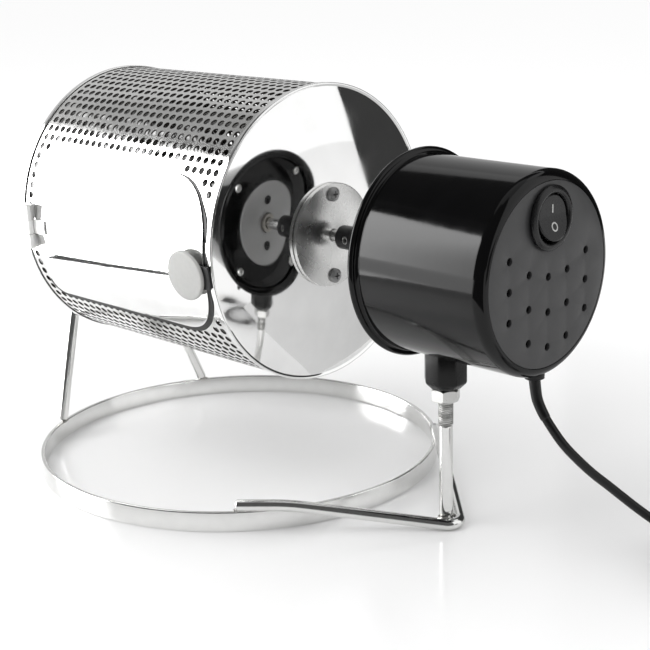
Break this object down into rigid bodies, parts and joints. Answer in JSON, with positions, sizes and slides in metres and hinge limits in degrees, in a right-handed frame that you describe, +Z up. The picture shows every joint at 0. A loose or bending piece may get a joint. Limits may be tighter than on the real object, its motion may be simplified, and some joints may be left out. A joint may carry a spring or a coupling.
{
  "type": "drum coffee roaster",
  "caption": "Tabletop coffee roaster: level perforated steel drum with a curved door, turned by a gearmotor in a round pod on a post, on a hoop base.",
  "frame": {"origin": "centre of the machine's footprint, on the table, measured without the mains lead", "axes": "+X along the drum's axis, from the far bearing towards the gearmotor pod; the drum's door faces -Y at rest; +Z up"},
  "size_m": [0.5293, 0.2302, 0.2213],
  "materials": {
    "polished_steel": "mirror-polished stainless steel",
    "zinc": "bright zinc-plated steel",
    "gloss_black": "glossy black",
    "bright_steel": "bright turned or rolled steel",
    "bronze": "bronze or brass, turned",
    "satin_black": "satin dark grey to black",
    "grey_zinc": "grey cast or drawn metal",
    "dark_steel": "blackened steel",
    "copper": "enamelled copper winding",
    "black_pvc": "soft black PVC",
    "nylon": "natural nylon"
  },
  "bodies": {
    "stand": {"base_ring": "polished_steel", "hairpin_support": "polished_steel", "motor_post": "polished_steel", "post_lock_nut": "zinc", "post_socket": "gloss_black", "far_support": "polished_steel", "far_bearing_tube": "bright_steel", "far_bearing_bush": "bronze", "pod_housing": "gloss_black", "pod_front_plate": "gloss_black", "front_plate_screw_1": "zinc", "front_plate_screw_2": "zinc", "front_plate_screw_3": "zinc", "front_plate_screw_4": "zinc", "pod_rear_cover": "satin_black", "gearmotor_face": "grey_zinc", "gearmotor_screw_1": "dark_steel", "gearmotor_screw_2": "dark_steel", "output_bush": "bronze", "gear_case": "grey_zinc", "motor_can": "grey_zinc", "stator_coil": "copper", "switch_body": "gloss_black", "cord_strain_relief": "black_pvc", "supply_cord": "black_pvc", "supply_cord_coil": "black_pvc", "supply_cord_tail": "black_pvc", "coil_tie": "black_pvc", "plug_body": "black_pvc", "plug_pin_1": "bronze", "plug_pin_2": "bronze"},
    "drum": {"drum_mantle": "polished_steel", "drum_cap_motor_end": "polished_steel", "drum_cap_far_end": "polished_steel", "mixing_vane_1": "bright_steel", "mixing_vane_2": "bright_steel", "mixing_vane_3": "bright_steel", "drive_flange": "bright_steel", "drive_flange_screw_1": "zinc", "drive_flange_screw_2": "zinc", "drive_flange_backing": "bright_steel", "drive_shaft": "bright_steel", "far_axle": "bright_steel", "far_axle_nut": "zinc", "coupling_sleeve": "dark_steel", "coupling_set_screw_1": "zinc", "coupling_set_screw_2": "zinc", "output_shaft": "bright_steel", "output_gear": "nylon", "drum_hinge_leaf": "bright_steel", "door_hinge_pin": "zinc"},
    "door": {"drum_door": "polished_steel", "door_hinge_leaf": "bright_steel"},
    "latch": {"latch_knob": "bright_steel", "latch_tongue": "dark_steel"},
    "idler": {"idler_gear": "nylon"},
    "rotor": {"rotor_shaft": "bright_steel", "rotor_magnet": "dark_steel"},
    "rocker": {"switch_rocker": "satin_black"}
  },
  "joints": [
    {"name": "drum_spin", "type": "hinge", "parent": "stand", "child": "drum", "pos_m": [0.02452, 0, 0.142], "axis": [1, 0, 0], "continuous": true},
    {"name": "door_hinge", "type": "hinge", "parent": "drum", "child": "door", "pos_m": [-0.12538, -0.08185, 0.13914], "axis": [0, 0.0349, -0.9994], "range_deg": [0, 100]},
    {"name": "latch_turn", "type": "hinge", "parent": "door", "child": "latch", "pos_m": [0.00952, -0.07742, 0.13249], "axis": [0, -0.9925, -0.1219], "range_deg": [0, 90]},
    {"name": "idler_spin", "type": "hinge", "parent": "stand", "child": "idler", "pos_m": [0.10652, 0.015, 0.142], "axis": [1, 0, 0], "continuous": true},
    {"name": "rotor_spin", "type": "hinge", "parent": "stand", "child": "rotor", "pos_m": [0.12452, 0, 0.142], "axis": [1, 0, 0], "continuous": true},
    {"name": "switch_rock", "type": "hinge", "parent": "stand", "child": "rocker", "pos_m": [0.17282, 0, 0.169], "axis": [0, 1, 0], "range_deg": [0, 18]}
  ],
  "couplings": [
    {"joint": "idler_spin", "follows": "drum_spin", "ratio": -4},
    {"joint": "rotor_spin", "follows": "drum_spin", "ratio": 16}
  ]
}
